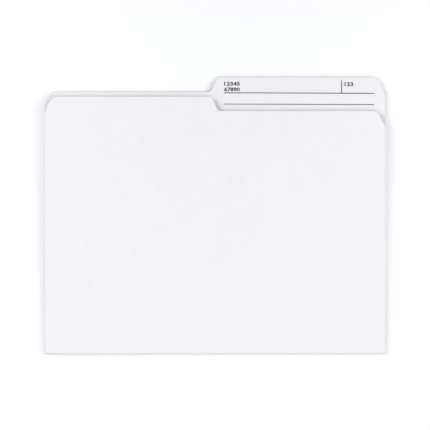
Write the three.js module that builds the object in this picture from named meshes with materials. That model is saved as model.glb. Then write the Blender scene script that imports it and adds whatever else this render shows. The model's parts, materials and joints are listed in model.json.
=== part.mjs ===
// A letter-size file folder of thin white board, lying closed on its back leaf.
// Millimetres. +X runs along the fold towards the tab's end, +Y from the fold to the tab, +Z up.
// The origin lies on the resting plane, under the middle of the folder's outline.

import * as THREE from 'three';

// Board
const BOARD_THICKNESS = 0.28;

// Outline of the cut sheet, heights measured from the fold's outer edge
const FOLDER_WIDTH = 298;
const BACK_LEAF_HEIGHT = 229.3;
const TAB_RISE = 12.7;
const TAB_WIDTH = 147.5;
const FRONT_LEAF_HEIGHT = 225.1;
const FRONT_UNDERCUT = 12.4;
const STEP_SHIFT = 0.9;

// Corners of the leaves
const CUT_SLOPE_DEGREES = 67.6;
const SLOPE_RADIUS = 4.2;
const END_CUT_RUN = 6.3;
const END_CUT_TOP_RADIUS = 7;
const END_KNEE_INSET = 2.8;
const END_KNEE_DROP = 9.6;
const END_KNEE_RADIUS = 6;
const END_CORNER_DROP = 13.2;
const END_CORNER_RADIUS = 4;
const FREE_CORNER_RUN = 8.2;
const FREE_CORNER_TOP_RADIUS = 4;
const KNEE_INSET = 3.2;
const KNEE_DROP = 5.1;
const KNEE_RADIUS = 6;
const BACK_CORNER_DROP = 13;
const FRONT_CORNER_DROP = 16;
const FREE_CORNER_SIDE_RADIUS = 12;

// Fold: a strip between two creases, which share the turn evenly
const STRIP_PITCH = 2.3;
const CREASE_CLEARANCE = 0.3;
const REST_OPENING_DEGREES = 0.7;

// Smoothness of the round corners
const ARC_STEPS = 6;

const CREASE_COUNT = 2;
const HALF_TURN = Math.PI;
const restOpening = THREE.MathUtils.degToRad(REST_OPENING_DEGREES);
const creaseTurn = (HALF_TURN - restOpening) / CREASE_COUNT;

// Each panel stops short of its crease line, so that its inner edge stays one clearance from its
// neighbour's while the fold is closed.
const creaseInset = (CREASE_CLEARANCE / 2 + (BOARD_THICKNESS / 2) * Math.sin(creaseTurn / 2))
  / Math.cos(creaseTurn / 2);

// The fold's outer edge is the outer face of the strip, at the end that leans out furthest.
const foldDepth = (STRIP_PITCH - creaseInset) * Math.cos(creaseTurn)
  + (BOARD_THICKNESS / 2) * Math.sin(creaseTurn);

const overallHeight = BACK_LEAF_HEIGHT + TAB_RISE;

const boardMaterial = (name, color) => {
  const material = new THREE.MeshStandardMaterial({ color, roughness: 0.85, metalness: 0 });
  material.name = name;
  return material;
};

// A closed outline from its corners, each given as [x, y, fillet radius]. A radius of 0 is a sharp
// corner, and a fillet takes at most half of either side next to it.
const filletedOutline = (corners) => {
  const shape = new THREE.Shape();
  corners.forEach(([x, y, radius], index) => {
    const corner = new THREE.Vector2(x, y);
    const before = new THREE.Vector2(...corners.at(index - 1));
    const after = new THREE.Vector2(...corners[(index + 1) % corners.length]);
    const toBefore = before.sub(corner);
    const toAfter = after.sub(corner);
    const halfAngle = toBefore.angleTo(toAfter) / 2;
    const room = Math.min(toBefore.length(), toAfter.length()) / 2;
    const tangent = Math.min(radius / Math.tan(halfAngle), room);
    const start = toBefore.clone().setLength(tangent).add(corner);
    if (index === 0) {
      shape.moveTo(start.x, start.y);
    } else {
      shape.lineTo(start.x, start.y);
    }
    if (radius > 0) {
      const reach = tangent / Math.cos(halfAngle);
      const bisector = toBefore.normalize().add(toAfter.clone().normalize()).setLength(reach);
      const centre = bisector.add(corner);
      const end = toAfter.setLength(tangent).add(corner);
      const clockwise = start.clone().sub(centre).cross(end.clone().sub(centre)) < 0;
      shape.absarc(
        centre.x,
        centre.y,
        tangent * Math.tan(halfAngle),
        Math.atan2(start.y - centre.y, start.x - centre.x),
        Math.atan2(end.y - centre.y, end.x - centre.x),
        clockwise,
      );
    }
  });
  shape.closePath();
  return shape;
};

// A panel of board of the given outline, its mid-plane on Z = 0.
const boardPanel = (name, outline, color) => {
  const geometry = new THREE.ExtrudeGeometry(outline, {
    depth: BOARD_THICKNESS,
    bevelEnabled: false,
    curveSegments: ARC_STEPS,
  });
  geometry.translate(0, 0, -BOARD_THICKNESS / 2);
  const panel = new THREE.Mesh(geometry, boardMaterial(name, color));
  panel.name = name;
  return panel;
};

const halfWidth = FOLDER_WIDTH / 2;
const tabStart = halfWidth - TAB_WIDTH;

// How far a slanted cut moves sideways over a given height.
const slopeRun = (height) => height / Math.tan(THREE.MathUtils.degToRad(CUT_SLOPE_DEGREES));

// The back leaf runs from the back crease towards +Y, with the tab over its right half.
const backLeafOutline = () => {
  const shoulder = BACK_LEAF_HEIGHT - foldDepth;
  const tabTop = shoulder + TAB_RISE;
  return filletedOutline([
    [-halfWidth, creaseInset, 0],
    [halfWidth, creaseInset, 0],
    [halfWidth, tabTop - END_CORNER_DROP, END_CORNER_RADIUS],
    [halfWidth - END_KNEE_INSET, tabTop - END_KNEE_DROP, END_KNEE_RADIUS],
    [halfWidth - END_CUT_RUN, tabTop, END_CUT_TOP_RADIUS],
    [tabStart, tabTop, SLOPE_RADIUS],
    [tabStart - slopeRun(TAB_RISE), shoulder, SLOPE_RADIUS],
    [-halfWidth + FREE_CORNER_RUN, shoulder, FREE_CORNER_TOP_RADIUS],
    [-halfWidth + KNEE_INSET, shoulder - KNEE_DROP, KNEE_RADIUS],
    [-halfWidth, shoulder - BACK_CORNER_DROP, FREE_CORNER_SIDE_RADIUS],
  ]);
};

// The front leaf runs from the front crease towards -Y, as it lies with the folder opened flat. Its
// right half is cut lower, so that the tab's face shows above it when the folder is closed.
const frontLeafOutline = () => {
  const top = FRONT_LEAF_HEIGHT - foldDepth;
  const lowTop = top - FRONT_UNDERCUT;
  const stepEnd = tabStart + STEP_SHIFT;
  return filletedOutline([
    [halfWidth, -creaseInset, 0],
    [-halfWidth, -creaseInset, 0],
    [-halfWidth, -(top - FRONT_CORNER_DROP), FREE_CORNER_SIDE_RADIUS],
    [-halfWidth + KNEE_INSET, -(top - KNEE_DROP), KNEE_RADIUS],
    [-halfWidth + FREE_CORNER_RUN, -top, FREE_CORNER_TOP_RADIUS],
    [stepEnd - slopeRun(FRONT_UNDERCUT), -top, SLOPE_RADIUS],
    [stepEnd, -lowTop, SLOPE_RADIUS],
    [halfWidth - END_CUT_RUN, -lowTop, END_CUT_TOP_RADIUS],
    [halfWidth - END_KNEE_INSET, -(lowTop - END_KNEE_DROP), END_KNEE_RADIUS],
    [halfWidth, -(lowTop - END_CORNER_DROP), END_CORNER_RADIUS],
  ]);
};

// The strip of the fold, from the back crease towards -Y.
const stripOutline = () => filletedOutline([
  [halfWidth, -creaseInset, 0],
  [-halfWidth, -creaseInset, 0],
  [-halfWidth, -(STRIP_PITCH - creaseInset), 0],
  [halfWidth, -(STRIP_PITCH - creaseInset), 0],
]);

// What follows a crease lies in a group that turns about the crease line. With every turn at 0 the
// folder is open flat, and a turn folds the next panel upwards and inwards.
const creaseGroup = (distance) => {
  const crease = new THREE.Group();
  crease.position.y = -distance;
  crease.rotation.x = -creaseTurn;
  return crease;
};

const backCrease = creaseGroup(0);
const frontCrease = creaseGroup(STRIP_PITCH);

backCrease.add(boardPanel('fold_strip', stripOutline(), 0xf0f0f2), frontCrease);
frontCrease.add(boardPanel('front_leaf', frontLeafOutline(), 0xf2f2f5));

const sheet = new THREE.Group();
sheet.position.set(0, foldDepth - overallHeight / 2, BOARD_THICKNESS / 2);
sheet.add(boardPanel('back_leaf', backLeafOutline(), 0xefeff2), backCrease);

const folder = new THREE.Group();
folder.name = 'file_folder';
folder.add(sheet);

export default folder;
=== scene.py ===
import json
import math

import bmesh
import bpy
from bpy.props import (
    FloatProperty,
    FloatVectorProperty,
    IntProperty,
    PointerProperty,
    StringProperty,
)
from mathutils import Matrix, Vector


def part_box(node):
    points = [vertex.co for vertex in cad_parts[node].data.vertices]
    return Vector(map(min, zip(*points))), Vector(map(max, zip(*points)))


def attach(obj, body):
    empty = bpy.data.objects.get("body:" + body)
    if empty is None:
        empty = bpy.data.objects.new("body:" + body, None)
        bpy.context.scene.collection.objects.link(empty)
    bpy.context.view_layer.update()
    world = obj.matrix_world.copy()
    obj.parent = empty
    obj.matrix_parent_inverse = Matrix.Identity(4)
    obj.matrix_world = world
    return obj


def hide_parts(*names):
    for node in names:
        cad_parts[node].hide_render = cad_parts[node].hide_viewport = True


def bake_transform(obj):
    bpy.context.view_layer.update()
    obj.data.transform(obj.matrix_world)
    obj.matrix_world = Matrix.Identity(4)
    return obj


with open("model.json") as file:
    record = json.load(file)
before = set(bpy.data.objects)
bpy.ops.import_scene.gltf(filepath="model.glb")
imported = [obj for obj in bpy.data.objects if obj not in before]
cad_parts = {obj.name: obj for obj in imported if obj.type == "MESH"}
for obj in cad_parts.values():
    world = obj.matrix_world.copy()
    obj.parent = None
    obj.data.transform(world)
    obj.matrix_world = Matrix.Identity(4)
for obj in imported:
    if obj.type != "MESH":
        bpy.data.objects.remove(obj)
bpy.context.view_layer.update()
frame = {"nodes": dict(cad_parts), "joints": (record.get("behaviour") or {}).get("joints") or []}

bl_info = {
    "name": "File Folder",
    "version": (1, 0, 0),
    "blender": (4, 5, 0),
    "location": "View3D > Sidebar > Folder",
    "description": "Builds a tabbed file folder of creased white board, its print and its stage",
    "category": "Object",
}

MM = 0.001

# Two places closer than this are the same place
HAIR = 0.001 * MM

# Corners closer than these become one, after a leaf is cut along its grid and after it is bent
GRID_MERGE = 0.05 * MM
BEND_MERGE = 0.01 * MM

# Corners of a leaf's outline that turn less than the first angle are left out, and edges that turn
# more than the second look sharp
STRAIGHT_ANGLE = math.radians(1)
SHARP_ANGLE = math.radians(13)

# How far above a leaf's bend its first grid line lies, and how far short of its edges its sag ends
BEND_MARGIN = 0.5 * MM
SAG_MARGIN = 2 * MM

# The points of a row across a leaf share their height to this many digits, within this tolerance
ROW_DIGITS = 5
ROW_TOLERANCE = 0.02 * MM

# Left of here, the back leaf's top edge is its shoulder
SHOULDER_END = -50 * MM

# The print is drawn flat at this height before it is laid on the board, and the curves of its
# figures have this many steps
DRAWN_AT = 10 * MM
FIGURE_STEPS = 4

# Each line of figures on the tab: where it starts, where its foot stands, and how wide it is
FIRST_LINE = (7.9 * MM, 113.6 * MM, 13.8 * MM)
SECOND_LINE = (7.9 * MM, 108.7 * MM, 13.8 * MM)
THIRD_LINE = (113.3 * MM, 113.3 * MM, 7.6 * MM)

# The table's side, how far it lies below the board, and the camera's sensor in millimetres and far
# limit in metres
TABLE_SIDE = 6
TABLE_GAP = 0.02 * MM
SENSOR_WIDTH = 36
FAR_LIMIT = 100

# Places that the frame gives: crease lines, board thickness and the turn of each crease
CREASES = {joint["name"]: joint for joint in frame["joints"]}
BACK_CREASE = Vector(CREASES["back_crease"]["pos_m"])
FRONT_CREASE = Vector(CREASES["front_crease"]["pos_m"])
BACK_LOW, BACK_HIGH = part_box("back_leaf")
BOARD = BACK_HIGH.z - BACK_LOW.z
HALF_STRIP = (FRONT_CREASE - BACK_CREASE) / 2
CREASE_TURN = math.radians(CREASES["back_crease"]["range_deg"][1])
OPENING = math.pi - 2 * CREASE_TURN
TABLE_Z = BACK_LOW.z - TABLE_GAP


def length(name, description, millimetres):
    """A size that a user can change, given in millimetres and kept in metres."""
    return FloatProperty(
        name=name, description=description, default=millimetres * MM, unit="LENGTH", precision=6
    )


def color(name, description, value):
    """A colour that a user can change."""
    return FloatVectorProperty(
        name=name, description=description, default=value, size=3, min=0, max=1, subtype="COLOR"
    )


class BoardSettings(bpy.types.PropertyGroup):
    """Sizes and colours of the folded board"""

    crease_radius: length("Crease radius", "Radius of the bent board's middle at each crease", 0.8)
    crease_steps: IntProperty(
        name="Crease steps", description="Faces round each crease", default=8, min=2
    )
    grid_step: length("Grid step", "Spacing of the lines that let a leaf curl", 12)
    # The band along the cut edges is thinned, and it is coloured with the core colour, whose
    # darkness is partly painted shade along the board's edges
    rim_width: length("Rim width", "Width of the worn band along the cut edges", 0.18)
    rim_thickness: FloatProperty(
        name="Rim thickness",
        description="Share of the thickness left at the cut edge",
        default=0.35,
        min=0,
        max=1,
        subtype="FACTOR",
    )
    leaf_lift: length("Leaf lift", "How far the back leaf's top edge curls up off the table", 1.95)
    leaf_curl: length("Leaf curl", "How far down from the top edge the back leaf curls", 170)
    tab_lift: length("Tab lift", "How much further the tab's top edge curls up", 0.9)
    tab_curl: length("Tab curl", "How far down from its top edge the tab curls", 12)
    front_sag: length("Front sag", "How far the front leaf's middle sags below its flat plane", 0.3)
    face_color: color("Board colour", "Colour of the board's smooth faces", (0.87, 0.862, 0.866))
    fibre_color: color("Fibre colour", "Colour of the board's faint flecks", (0.828, 0.82, 0.824))
    # The core colour is partly the raw core's own grey and partly painted shade: it is dark enough
    # to stand in for the shadow along the board's edges
    core_and_edge_shade_color: color("Core colour", "Colour of the raw core along the cut edges", (0.5, 0.5, 0.52))


class PrintSettings(bpy.types.PropertyGroup):
    """The ruled form printed on the tab, placed from the middle of the folder's outline"""

    upper_width: length("Upper width", "Width of the upper rule and the divider", 0.78)
    lower_width: length("Lower width", "Width of the lower rule", 0.66)
    left: length("Left end", "Where the rules start", 7.6)
    right: length("Right end", "Where the rules end", 139.4)
    upper_rule: length("Upper rule", "Height of the upper rule's middle", 107.25)
    lower_rule: length("Lower rule", "Height of the lower rule's middle", 97.38)
    rule_drop: length("Rule drop", "How much lower a rule ends than it starts", 0.45)
    divider: length("Divider", "Where the upright divider stands", 110.8)
    divider_top: length("Divider top", "Height of the divider's upper end", 118.3)
    figure_height: length("Figure height", "Height of the printed figures", 3.5)
    figure_weight: FloatProperty(
        name="Figure weight",
        description="How much bolder than plain the figures are",
        default=0.036,
    )
    film: length("Ink film", "How far the ink stands proud of the board", 0.02)
    first_figures: StringProperty(
        name="First figures", description="Upper line left of the divider", default="12345"
    )
    second_figures: StringProperty(
        name="Second figures", description="Lower line left of the divider", default="67890"
    )
    third_figures: StringProperty(
        name="Third figures", description="Line right of the divider", default="123"
    )
    ink_color: color("Ink colour", "Colour of the printing ink", (0.03, 0.029, 0.033))


class StageSettings(bpy.types.PropertyGroup):
    """The table, the light and the camera"""

    camera_height: length("Camera height", "Height of the camera above the table", 1600)
    view_width: length("View width", "Width of the table that the picture shows", 377.1)
    aim_x: length("Aim across", "Where the camera points, along the fold", -0.1)
    aim_y: length("Aim up", "Where the camera points, from the fold to the tab", 0.45)
    sky: FloatProperty(
        name="Sky", description="Strength of the even light from all round", default=0.3, min=0
    )
    sky_color: color("Sky colour", "Colour of the even light from all round", (0.86, 0.89, 1))
    lamps: FloatProperty(
        name="Lamps", description="Strength of the soft lamps, all together", default=1, min=0
    )
    lit_reach: length("Lit reach", "How far from the middle the table starts to fade to white", 450)
    table_color: color("Table colour", "Colour of the table top", (0.995, 0.995, 0.995))


class FolderSettings(bpy.types.PropertyGroup):
    """All settings of the file folder"""

    board: PointerProperty(type=BoardSettings, name="Board", description="The folded board")
    ink: PointerProperty(type=PrintSettings, name="Print", description="The print on the tab")
    stage: PointerProperty(type=StageSettings, name="Stage", description="Table, light and camera")


def settings():
    """The folder's settings in the open scene."""
    return bpy.context.scene.file_folder


# Selecting and shaping, as by hand


def deselect_all():
    if bpy.context.mode != "OBJECT":
        bpy.ops.object.mode_set(mode="OBJECT")
    bpy.ops.object.select_all(action="DESELECT")


def make_active(piece):
    """Selects one piece alone, so that the next operator works on it."""
    deselect_all()
    piece.select_set(True)
    bpy.context.view_layer.objects.active = piece


def edit(piece, kind):
    """Opens a piece in edit mode with nothing selected, working on VERT, EDGE or FACE."""
    make_active(piece)
    bpy.ops.object.mode_set(mode="EDIT")
    bpy.ops.mesh.select_mode(type=kind)
    bpy.ops.mesh.select_all(action="DESELECT")


def finish_edit():
    bpy.ops.object.mode_set(mode="OBJECT")


def select(piece, parts, wanted):
    """Selects the vertices, edges or faces that pass the test, and says how many did."""
    mesh = bmesh.from_edit_mesh(piece.data)
    mesh.normal_update()
    chosen = [part for part in getattr(mesh, parts) if wanted(part)]
    for part in chosen:
        part.select_set(True)
    mesh.select_flush_mode()
    bmesh.update_edit_mesh(piece.data)
    return len(chosen)


def apply_modifier(piece, kind, **values):
    """Adds a modifier with the given values to a piece, and applies it."""
    make_active(piece)
    modifier = piece.modifiers.new(kind.title(), kind)
    for name, value in values.items():
        setattr(modifier, name, value)
    bpy.ops.object.modifier_apply(modifier=modifier.name)


def turn_mesh(piece, angle, about):
    """Turns a piece's mesh round a line that runs along the fold."""
    there = Matrix.Translation(about)
    piece.data.transform(there @ Matrix.Rotation(angle, 4, "X") @ there.inverted())
    piece.data.update()


# Finishes


class Finish:
    """A material's node tree, with short calls that add and join its nodes."""

    def __init__(self, name):
        self.material = bpy.data.materials.new(name)
        self.material.use_nodes = True
        self.tree = self.material.node_tree
        self.shader = self.tree.nodes["Principled BSDF"]
        self.place = self.add("ShaderNodeTexCoord").outputs["Object"]

    def add(self, kind, **values):
        node = self.tree.nodes.new(kind)
        for name, value in values.items():
            setattr(node, name, value)
        return node

    def join(self, output, socket):
        self.tree.links.new(output, socket)

    def stretched(self, scale):
        """Coordinates scaled more one way than another, for layers and fibres."""
        mapping = self.add("ShaderNodeMapping")
        mapping.inputs["Scale"].default_value = scale
        self.join(self.place, mapping.inputs["Vector"])
        return mapping.outputs["Vector"]

    def noise(self, scale, detail, place=None):
        """A cloudy pattern from 0 to 1, whose scale is in lumps per metre."""
        node = self.add("ShaderNodeTexNoise")
        node.inputs["Scale"].default_value = scale
        node.inputs["Detail"].default_value = detail
        node.inputs["Roughness"].default_value = 0.6
        self.join(place or self.place, node.inputs["Vector"])
        return node.outputs["Fac"]

    def remap(self, value, given, wanted):
        """Carries the given range of values, from low to high, over to the wanted one."""
        node = self.add("ShaderNodeMapRange")
        sockets = ("From Min", "From Max", "To Min", "To Max")
        for socket, number in zip(sockets, (*given, *wanted)):
            node.inputs[socket].default_value = number
        self.join(value, node.inputs["Value"])
        return node.outputs["Result"]

    def total(self, first, second):
        """The sum of two values."""
        node = self.add("ShaderNodeMath", operation="ADD")
        self.join(first, node.inputs[0])
        self.join(second, node.inputs[1])
        return node.outputs["Value"]

    def paint(self, share, first, second):
        """Mixes two colours into the base colour."""
        node = self.add("ShaderNodeMix", data_type="RGBA")
        colors = [socket for socket in node.inputs if socket.type == "RGBA"]
        colors[0].default_value = (*first, 1)
        colors[1].default_value = (*second, 1)
        self.join(share, node.inputs["Factor"])
        output = next(socket for socket in node.outputs if socket.type == "RGBA")
        self.join(output, self.shader.inputs["Base Color"])

    def roughen(self, value):
        self.join(value, self.shader.inputs["Roughness"])

    def emboss(self, height, strength, distance):
        """Shades the surface as if the pattern stood out from it by the given distance."""
        bump = self.add("ShaderNodeBump")
        bump.inputs["Strength"].default_value = strength
        bump.inputs["Distance"].default_value = distance
        self.join(height, bump.inputs["Height"])
        self.join(bump.outputs["Normal"], self.shader.inputs["Normal"])


def board_face():
    """Smooth white folder board: cloudy formation, sparse fibre flecks and a fine tooth."""
    board = settings().board
    finish = Finish("board_face")
    cloud = finish.remap(finish.noise(scale=90, detail=4), (0.35, 0.65), (0, 0.4))
    fibres = finish.noise(scale=1, detail=3, place=finish.stretched((260, 1500, 1500)))
    flecks = finish.remap(fibres, (0.62, 0.78), (0, 0.6))
    finish.paint(finish.total(cloud, flecks), board.face_color, board.fibre_color)
    gloss = finish.noise(scale=400, detail=3)
    finish.roughen(finish.remap(gloss, (0.3, 0.7), (0.66, 0.78)))
    finish.shader.inputs["Specular IOR Level"].default_value = 0.25
    fine = finish.noise(scale=2600, detail=4)
    coarse = finish.remap(finish.noise(scale=420, detail=2), (0, 1), (0, 0.6))
    finish.emboss(finish.total(fine, coarse), strength=0.25, distance=0.02 * MM)


def board_core():
    """The cut edge and the band along it, where the board's core shows: streaked in layers, and
    darker than the faces, partly the core's own grey and partly painted shade along the edge.
    """
    core = settings().board.core_and_edge_shade_color
    finish = Finish("board_core")
    layers = finish.noise(scale=1, detail=3, place=finish.stretched((700, 700, 14000)))
    shade = [0.85 * value for value in core]
    finish.paint(finish.remap(layers, (0.3, 0.7), (0, 1)), core, shade)
    finish.shader.inputs["Roughness"].default_value = 0.9
    finish.shader.inputs["Specular IOR Level"].default_value = 0.2
    finish.emboss(layers, strength=0.4, distance=0.02 * MM)


def printing_ink():
    """Near-black ink with an uneven lay, a little glossier than the board."""
    ink = settings().ink.ink_color
    finish = Finish("printing_ink")
    thin = [2.6 * value for value in ink]
    lay = finish.noise(scale=2200, detail=4)
    finish.paint(finish.remap(lay, (0.35, 0.75), (0, 1)), ink, thin)
    gloss = finish.noise(scale=900, detail=2)
    finish.roughen(finish.remap(gloss, (0.3, 0.7), (0.45, 0.58)))
    finish.shader.inputs["Specular IOR Level"].default_value = 0.3


def seen_directly(nodes, links):
    """1 for what the camera, a mirror or clear glass shows, and 0 for light that is passed on."""
    path = nodes.new("ShaderNodeLightPath")
    seen = path.outputs["Is Camera Ray"]
    for other in ("Is Glossy Ray", "Is Transmission Ray"):
        either = nodes.new("ShaderNodeMath")
        either.operation = "MAXIMUM"
        links.new(seen, either.inputs[0])
        links.new(path.outputs[other], either.inputs[1])
        seen = either.outputs["Value"]
    return seen


def table_top():
    """A plain white table, whose far parts look as white as the backdrop."""
    stage = settings().stage
    finish = Finish("table_top")
    finish.shader.inputs["Base Color"].default_value = (*stage.table_color, 1)
    finish.shader.inputs["Roughness"].default_value = 1
    finish.shader.inputs["Specular IOR Level"].default_value = 0
    distance = finish.add("ShaderNodeVectorMath", operation="LENGTH")
    finish.join(finish.place, distance.inputs[0])
    fade = (stage.lit_reach, 2 * stage.lit_reach)
    far = finish.remap(distance.outputs["Value"], fade, (0, 1))
    shown = finish.add("ShaderNodeMath", operation="MULTIPLY")
    finish.join(far, shown.inputs[0])
    finish.join(seen_directly(finish.tree.nodes, finish.tree.links), shown.inputs[1])
    white = finish.add("ShaderNodeEmission")
    mix = finish.add("ShaderNodeMixShader")
    finish.join(shown.outputs["Value"], mix.inputs["Fac"])
    finish.join(finish.shader.outputs["BSDF"], mix.inputs[1])
    finish.join(white.outputs["Emission"], mix.inputs[2])
    finish.join(mix.outputs["Shader"], finish.tree.nodes["Material Output"].inputs["Surface"])


class FOLDER_OT_finishes(bpy.types.Operator):
    """Make the finishes of the board, its cut edge, the ink and the table"""

    bl_idname = "folder.finishes"
    bl_label = "Make the finishes"

    def execute(self, context):
        board_face()
        board_core()
        printing_ink()
        table_top()
        return {"FINISHED"}


# The two halves of the board, which meet in the middle of the fold


def leaf_sheet(node, name, turn, about):
    """The upper face of a leaf's solid, turned level, as one flat sheet with its exact outline."""
    piece = bpy.data.objects.new(name, frame["nodes"][node].data.copy())
    bpy.context.scene.collection.objects.link(piece)
    piece.data.materials.clear()
    turn_mesh(piece, turn, about)
    top = max(vert.co.z for vert in piece.data.vertices)
    edit(piece, "FACE")
    bpy.ops.mesh.select_all(action="SELECT")
    bpy.ops.mesh.remove_doubles(threshold=HAIR)
    bpy.ops.mesh.select_all(action="DESELECT")
    select(piece, "faces", lambda face: min(vert.co.z for vert in face.verts) < top - HAIR)
    bpy.ops.mesh.delete(type="FACE")
    bpy.ops.mesh.select_all(action="SELECT")
    bpy.ops.mesh.dissolve_faces()
    bpy.ops.mesh.select_all(action="SELECT")
    bpy.ops.mesh.dissolve_limited(angle_limit=STRAIGHT_ANGLE)
    finish_edit()
    return piece


def grid_lines(low, high):
    """Evenly spaced planes across a leaf between two of its corners, each a place and a normal."""
    lines = []
    for axis, normal in ((0, Vector((1, 0, 0))), (1, Vector((0, 1, 0)))):
        span = high[axis] - low[axis]
        count = round(span / settings().board.grid_step)
        lines += [(normal * (low[axis] + span * i / count), normal) for i in range(1, count)]
    return lines


def cut_along(piece, lines, closest):
    """Cuts a flat piece along planes, and merges the corners that then lie closer than closest."""
    edit(piece, "FACE")
    for place, normal in lines:
        bpy.ops.mesh.select_all(action="SELECT")
        bpy.ops.mesh.bisect(plane_co=place, plane_no=normal)
    bpy.ops.mesh.select_all(action="SELECT")
    bpy.ops.mesh.remove_doubles(threshold=closest)
    finish_edit()


def cut_grid(piece, first_line):
    """Cuts a flat leaf along a grid of lines, so that it can curl, and along one by the fold."""
    places = [vert.co for vert in piece.data.vertices]
    low = [min(place[axis] for place in places) for axis in range(2)]
    high = [max(place[axis] for place in places) for axis in range(2)]
    fold_line = (Vector((0, first_line, 0)), Vector((0, 1, 0)))
    cut_along(piece, [fold_line, *grid_lines(low, high)], GRID_MERGE)


def bend_round_crease(piece, crease, way):
    """Carries a flat leaf's fold edge round its crease and on to the middle of the strip.

    The bend rises with a way of 1, as on the back leaf, and falls with -1, as on the front leaf."""
    board = settings().board
    radius = board.crease_radius
    reach = radius * math.tan(CREASE_TURN / 2)
    fold_edge = min(vert.co.y for vert in piece.data.vertices)
    along = Vector((0, -math.cos(CREASE_TURN), way * math.sin(CREASE_TURN)))
    edit(piece, "EDGE")
    select(piece, "edges", lambda edge: all(vert.co.y < fold_edge + HAIR for vert in edge.verts))
    bpy.ops.transform.translate(value=(0, crease.y + reach - fold_edge, 0))
    bpy.ops.mesh.spin(
        steps=board.crease_steps,
        angle=way * CREASE_TURN,
        center=(0, crease.y + reach, crease.z + way * radius),
        axis=(1, 0, 0),
    )
    straight = along * (HALF_STRIP.length - reach)
    bpy.ops.mesh.extrude_region_move(TRANSFORM_OT_translate={"value": straight})
    bpy.ops.mesh.select_all(action="SELECT")
    bpy.ops.mesh.remove_doubles(threshold=BEND_MERGE)
    bpy.ops.mesh.normals_make_consistent(inside=False)
    finish_edit()
    end = crease + along * HALF_STRIP.length
    misses = [math.hypot(vert.co.y - end.y, vert.co.z - end.z) for vert in piece.data.vertices]
    if min(misses) > HAIR:
        raise RuntimeError(f"{piece.name} doesn't end in the middle of the fold")


def lift(piece, wanted, height, reach):
    """Lifts the vertices that pass the test, and less and less of the sheet around them."""
    edit(piece, "VERT")
    select(piece, "verts", wanted)
    bpy.ops.transform.translate(
        value=(0, 0, height),
        use_proportional_edit=True,
        proportional_edit_falloff="SMOOTH",
        proportional_size=reach,
    )
    finish_edit()


def thicken(piece, seam, along):
    """Gives a sheet the board's thickness, with a narrow thinned band along its cut edges in the
    core's colour, which is partly painted shade along the edge.

    The two halves of the board meet at the seam, which isn't a cut edge: the sheet is drawn out
    past it while the band is made, and then cut back."""
    board = settings().board
    piece.data.materials.append(bpy.data.materials["board_face"])
    piece.data.materials.append(bpy.data.materials["board_core"])
    spare = along * board.rim_width
    end = seam + spare

    def on_line(vert, line):
        return math.hypot(vert.co.y - line.y, vert.co.z - line.z) < HAIR

    def on_cut_edge(vert):
        return vert.is_boundary and (abs(vert.co.x) > BACK_HIGH.x - HAIR or not on_line(vert, seam))

    edit(piece, "VERT")
    select(piece, "verts", lambda vert: on_line(vert, seam))
    bpy.ops.transform.translate(value=spare)
    edit(piece, "FACE")
    bpy.ops.mesh.select_all(action="SELECT")
    bpy.ops.mesh.inset(thickness=board.rim_width, use_even_offset=True, use_boundary=True)
    # The band along the cut edges takes the core finish, whose dark colour is partly painted shade
    # along the edge
    bpy.ops.mesh.select_all(action="INVERT")
    piece.active_material_index = 1
    bpy.ops.object.material_slot_assign()
    bpy.ops.mesh.select_all(action="DESELECT")
    select(piece, "faces", lambda face: sum(on_line(vert, end) for vert in face.verts) > 1)
    bpy.ops.mesh.delete(type="FACE")
    edit(piece, "VERT")
    select(piece, "verts", lambda vert: on_line(vert, end))
    bpy.ops.transform.translate(value=-spare)
    rim = piece.vertex_groups.new(name="cut_edge")
    bpy.ops.mesh.select_all(action="DESELECT")
    select(piece, "verts", on_cut_edge)
    bpy.ops.object.vertex_group_assign()
    finish_edit()
    apply_modifier(
        piece,
        "SOLIDIFY",
        thickness=BOARD,
        offset=0,
        use_even_offset=True,
        material_offset_rim=1,
        vertex_group=rim.name,
        invert_vertex_group=True,
        thickness_vertex_group=board.rim_thickness,
    )
    bpy.ops.object.shade_smooth_by_angle(angle=SHARP_ANGLE)


class FOLDER_OT_back_board(bpy.types.Operator):
    """Make the back leaf with its tab, its crease and its half of the fold"""

    bl_idname = "folder.back_board"
    bl_label = "Make the back board"

    def execute(self, context):
        board = settings().board
        reach = board.crease_radius * math.tan(CREASE_TURN / 2)
        piece = leaf_sheet("back_leaf", "back_board", 0, BACK_CREASE)
        piece.data.transform(Matrix.Translation((0, 0, -BOARD / 2)))
        cut_grid(piece, BACK_CREASE.y + reach + BEND_MARGIN)
        shoulder = max(vert.co.y for vert in piece.data.vertices if vert.co.x < SHOULDER_END)
        lift(piece, lambda vert: vert.co.y > shoulder - HAIR, board.leaf_lift, board.leaf_curl)
        lift(piece, lambda vert: vert.co.y > BACK_HIGH.y - HAIR, board.tab_lift, board.tab_curl)
        bend_round_crease(piece, BACK_CREASE, 1)
        along = HALF_STRIP.normalized()
        thicken(piece, BACK_CREASE + HALF_STRIP, along)
        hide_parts("back_leaf", "fold_strip")
        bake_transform(piece)
        return {"FINISHED"}


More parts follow.
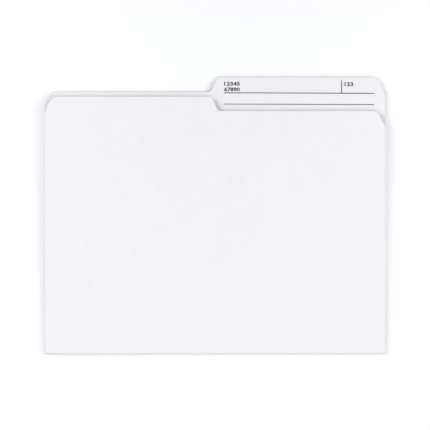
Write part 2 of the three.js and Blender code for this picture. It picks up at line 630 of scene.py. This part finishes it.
class FOLDER_OT_front_board(bpy.types.Operator):
    """Make the front leaf with its crease and its half of the fold"""

    bl_idname = "folder.front_board"
    bl_label = "Make the front board"

    def execute(self, context):
        board = settings().board
        reach = board.crease_radius * math.tan(CREASE_TURN / 2)
        piece = leaf_sheet("front_leaf", "front_board", -OPENING, FRONT_CREASE)
        piece.data.transform(Matrix.Translation((0, 0, -BOARD / 2)))
        cut_grid(piece, FRONT_CREASE.y + reach + BEND_MARGIN)
        rows = sorted({round(vert.co.y, ROW_DIGITS) for vert in piece.data.vertices})
        middle_y = (rows[0] + rows[-1]) / 2
        nearest = min(rows, key=lambda row: abs(row - middle_y))
        half = min(nearest - rows[0], rows[-1] - nearest) - SAG_MARGIN
        lift(
            piece,
            lambda vert: abs(vert.co.y - nearest) < ROW_TOLERANCE,
            -board.front_sag,
            half,
        )
        bend_round_crease(piece, FRONT_CREASE, -1)
        turn_mesh(piece, OPENING, FRONT_CREASE)
        along = -HALF_STRIP.normalized()
        thicken(piece, FRONT_CREASE - HALF_STRIP, along)
        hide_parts("front_leaf")
        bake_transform(piece)
        return {"FINISHED"}


# The print on the tab


def rule(start, end, width):
    """A flat printed line."""
    run = end - start
    middle = (start + end) / 2
    turn = math.atan2(run.y, run.x)
    bpy.ops.mesh.primitive_plane_add(size=1, location=middle, rotation=(0, 0, turn))
    piece = bpy.context.object
    piece.scale = (run.length, width, 1)
    bpy.ops.object.transform_apply(location=True, rotation=True, scale=True)
    return piece


def figures(text, left, foot, width):
    """A line of printed figures of a given overall width, as a flat mesh."""
    bpy.ops.object.text_add(location=(0, 0, 0))
    piece = bpy.context.object
    piece.data.body = text
    piece.data.offset = settings().ink.figure_weight
    piece.data.resolution_u = FIGURE_STEPS
    bpy.ops.object.convert(target="MESH")
    piece = bpy.context.object
    places = [vert.co for vert in piece.data.vertices]
    low = Vector((min(place.x for place in places), min(place.y for place in places), 0))
    high = Vector((max(place.x for place in places), max(place.y for place in places), 0))
    tall = settings().ink.figure_height
    piece.scale = (width / (high.x - low.x), tall / (high.y - low.y), 1)
    piece.location = (left - low.x * piece.scale.x, foot - low.y * piece.scale.y, DRAWN_AT)
    bpy.ops.object.transform_apply(location=True, rotation=True, scale=True)
    return piece


class FOLDER_OT_tab_print(bpy.types.Operator):
    """Make the rules, the divider and the plain figures printed on the tab"""

    bl_idname = "folder.tab_print"
    bl_label = "Make the tab's print"

    def execute(self, context):
        ink = settings().ink
        tilt = ink.rule_drop / 2
        deselect_all()
        parts = []
        for y, width in ((ink.upper_rule, ink.upper_width), (ink.lower_rule, ink.lower_width)):
            start = Vector((ink.left, y + tilt, DRAWN_AT))
            end = Vector((ink.right, y - tilt, DRAWN_AT))
            parts.append(rule(start, end, width))
        foot = Vector((ink.divider, ink.upper_rule - tilt / 2, DRAWN_AT))
        top = Vector((ink.divider, ink.divider_top, DRAWN_AT))
        parts.append(rule(foot, top, ink.upper_width))
        parts.append(figures(ink.first_figures, *FIRST_LINE))
        parts.append(figures(ink.second_figures, *SECOND_LINE))
        parts.append(figures(ink.third_figures, *THIRD_LINE))
        deselect_all()
        for part in parts:
            part.select_set(True)
        bpy.context.view_layer.objects.active = parts[0]
        bpy.ops.object.join()
        piece = bpy.context.object
        piece.name = "tab_print"
        piece.data.materials.clear()
        piece.data.materials.append(bpy.data.materials["printing_ink"])
        cut_along(piece, grid_lines(BACK_LOW, BACK_HIGH), HAIR)
        edit(piece, "FACE")
        if select(piece, "faces", lambda face: face.normal.z < 0):
            bpy.ops.mesh.flip_normals()
        finish_edit()
        apply_modifier(
            piece,
            "SHRINKWRAP",
            target=bpy.data.objects["back_board"],
            wrap_method="PROJECT",
            use_project_z=True,
            use_negative_direction=True,
            use_positive_direction=False,
        )
        apply_modifier(piece, "SOLIDIFY", thickness=ink.film, offset=1)
        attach(piece, "back")
        return {"FINISHED"}


# The stage


# Soft lamps round the table: direction from the middle and height in degrees, distance and side in
# metres, power in watts
LAMPS = {
    "right_lamp": (0, 32, 1.0, 0.35, 3.2),
    "right_low_lamp": (25, 20, 1.0, 0.35, 2.3),
    "left_low_lamp": (155, 25, 1.0, 0.35, 4.4),
    "left_high_lamp": (155, 45, 1.0, 0.35, 1.1),
    "near_left_lamp": (225, 45, 0.65, 0.3, 0.6),
    "near_low_lamp": (270, 30, 0.65, 0.3, 0.3),
    "near_right_lamp": (315, 65, 0.65, 0.3, 0.7),
}


def soft_lamp(name, direction, height, distance, size, power):
    """A square lamp at a place round the table, turned to its middle."""
    data = bpy.data.lights.new(name, "AREA")
    data.shape = "SQUARE"
    data.size = size
    data.energy = power
    lamp = bpy.data.objects.new(name, data)
    bpy.context.scene.collection.objects.link(lamp)
    across = distance * math.cos(math.radians(height))
    lamp.location = (
        across * math.cos(math.radians(direction)),
        across * math.sin(math.radians(direction)),
        distance * math.sin(math.radians(height)),
    )
    lamp.rotation_euler = (-lamp.location).to_track_quat("-Z", "Y").to_euler()


def pale_world(tint, strength):
    """Even light of the given strength, which the camera sees as plain white."""
    world = bpy.data.worlds.new("pale_world")
    bpy.context.scene.world = world
    world.use_nodes = True
    nodes = world.node_tree.nodes
    links = world.node_tree.links
    light = nodes["Background"]
    light.inputs["Color"].default_value = (*tint, 1)
    light.inputs["Strength"].default_value = strength
    backdrop = nodes.new("ShaderNodeBackground")
    backdrop.inputs["Color"].default_value = (1, 1, 1, 1)
    backdrop.inputs["Strength"].default_value = 1
    mix = nodes.new("ShaderNodeMixShader")
    links.new(seen_directly(nodes, links), mix.inputs["Fac"])
    links.new(light.outputs["Background"], mix.inputs[1])
    links.new(backdrop.outputs["Background"], mix.inputs[2])
    links.new(mix.outputs["Shader"], nodes["World Output"].inputs["Surface"])


class FOLDER_OT_stage(bpy.types.Operator):
    """Make the table, the light and the camera"""

    bl_idname = "folder.stage"
    bl_label = "Make the stage"

    def execute(self, context):
        stage = settings().stage
        deselect_all()
        bpy.ops.mesh.primitive_plane_add(size=TABLE_SIDE, location=(0, 0, TABLE_Z))
        table = bpy.context.object
        table.name = "table"
        table.data.materials.append(bpy.data.materials["table_top"])
        pale_world(stage.sky_color, stage.sky)
        for name, (direction, height, distance, size, power) in LAMPS.items():
            soft_lamp(name, direction, height, distance, size, power * stage.lamps)
        data = bpy.data.cameras.new("camera")
        data.sensor_width = SENSOR_WIDTH
        data.lens = data.sensor_width * stage.camera_height / stage.view_width
        data.clip_end = FAR_LIMIT
        camera = bpy.data.objects.new("camera", data)
        context.scene.collection.objects.link(camera)
        camera.location = (stage.aim_x, stage.aim_y, stage.camera_height)
        context.scene.camera = camera
        context.scene.view_settings.view_transform = "Standard"
        return {"FINISHED"}


class FOLDER_PT_panel(bpy.types.Panel):
    """Buttons and settings of the file folder"""

    bl_idname = "FOLDER_PT_panel"
    bl_label = "File folder"
    bl_space_type = "VIEW_3D"
    bl_region_type = "UI"
    bl_category = "Folder"

    def draw(self, context):
        folder = context.scene.file_folder
        groups = (
            (folder.board, ("folder.finishes", "folder.back_board", "folder.front_board")),
            (folder.ink, ("folder.tab_print",)),
            (folder.stage, ("folder.stage",)),
        )
        for group, operators in groups:
            box = self.layout.box()
            for name in type(group).__annotations__:
                box.prop(group, name)
            for operator in operators:
                box.operator(operator)


CLASSES = (
    BoardSettings,
    PrintSettings,
    StageSettings,
    FolderSettings,
    FOLDER_OT_finishes,
    FOLDER_OT_back_board,
    FOLDER_OT_front_board,
    FOLDER_OT_tab_print,
    FOLDER_OT_stage,
    FOLDER_PT_panel,
)


def register():
    for cls in CLASSES:
        bpy.utils.register_class(cls)
    bpy.types.Scene.file_folder = PointerProperty(type=FolderSettings)


def unregister():
    del bpy.types.Scene.file_folder
    for cls in reversed(CLASSES):
        bpy.utils.unregister_class(cls)


def main():
    register()
    bpy.ops.folder.finishes()
    bpy.ops.folder.back_board()
    bpy.ops.folder.front_board()
    bpy.ops.folder.tab_print()
    bpy.ops.folder.stage()


if __name__ == "__main__":
    main()
